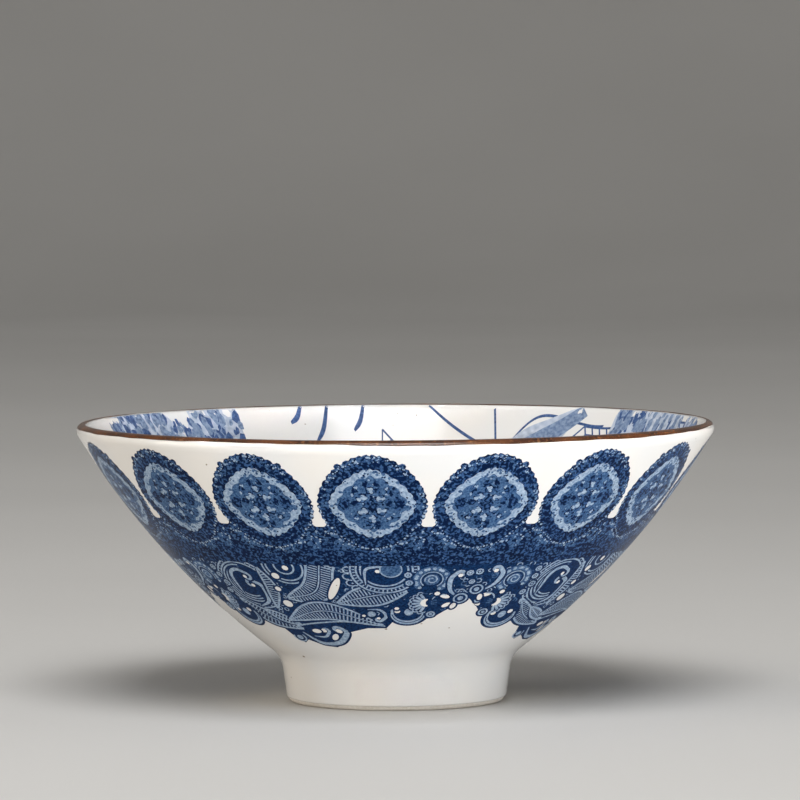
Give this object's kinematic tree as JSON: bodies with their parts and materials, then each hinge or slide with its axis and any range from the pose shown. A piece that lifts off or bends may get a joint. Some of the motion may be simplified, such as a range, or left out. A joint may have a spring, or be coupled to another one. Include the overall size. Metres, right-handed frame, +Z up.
{
  "type": "tea bowl",
  "caption": "Small conical porcelain tea bowl on a foot ring, with a brown glazed rim, blue printed medallions, band and lace outside and a garden scene inside.",
  "frame": {"origin": "centre of the circle that the foot ring rests on", "axes": "+Z up along the bowl's axis, -Y towards the side that the picture shows, +X to the right of it"},
  "size_m": [0.09, 0.09, 0.0395],
  "materials": {
    "porcelain": "bare biscuit porcelain, matt",
    "white_glaze": "clear glossy glaze over white porcelain",
    "brown_glaze": "glossy iron brown glaze",
    "cobalt_print": "glossy dark cobalt transfer print",
    "garden_print": "glossy white glaze with fine cobalt line work"
  },
  "bodies": {
    "root": {"bowl_body": "porcelain", "foot_ring": "porcelain", "outer_glaze": "white_glaze", "inner_glaze": "white_glaze", "foot_well_glaze": "white_glaze", "rim_glaze": "brown_glaze", "band_print": "cobalt_print", "medallion_print": "cobalt_print", "lace_print": "cobalt_print", "garden_print": "garden_print"}
  },
  "joints": []
}
